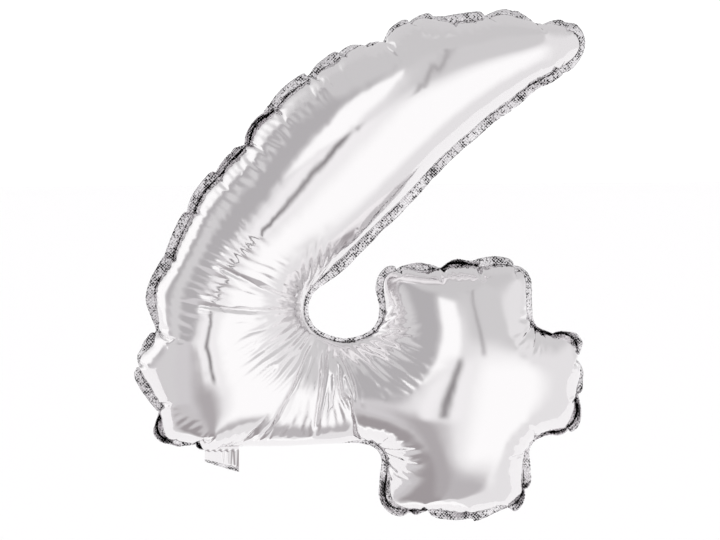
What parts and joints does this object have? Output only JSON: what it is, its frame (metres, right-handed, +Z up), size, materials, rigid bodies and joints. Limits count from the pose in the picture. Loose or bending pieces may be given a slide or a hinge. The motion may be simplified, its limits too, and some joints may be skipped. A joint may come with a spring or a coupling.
{
  "type": "foil number balloon",
  "caption": "Filled foil balloon in the shape of a figure four, with a scalloped weld flange, a folding filling neck and an inner self-sealing valve.",
  "frame": {"origin": "centre of the filled balloon's box, on the plane of the weld seam", "axes": "+Z up through the figure, +X to the right of someone who reads it, -Y towards that reader"},
  "size_m": [0.3194, 0.0994, 0.3622],
  "materials": {
    "foil_film": "metallised film, bright and slightly soft",
    "foil_weld": "heat-sealed foil with a fine knurl",
    "valve_film": "thin clear-white polyethylene"
  },
  "bodies": {
    "envelope": {"front_film": "foil_film", "back_film": "foil_film", "weld_flange": "foil_weld", "valve_front_film": "valve_film", "valve_back_film": "valve_film"},
    "filling_neck": {"neck_front_leaf": "foil_film", "neck_back_leaf": "foil_film"}
  },
  "joints": [
    {"name": "neck_fold", "type": "hinge", "parent": "envelope", "child": "filling_neck", "pos_m": [-0.10169, 0, -0.12639], "axis": [1, 0, 0], "range_deg": [-135, 45]}
  ]
}
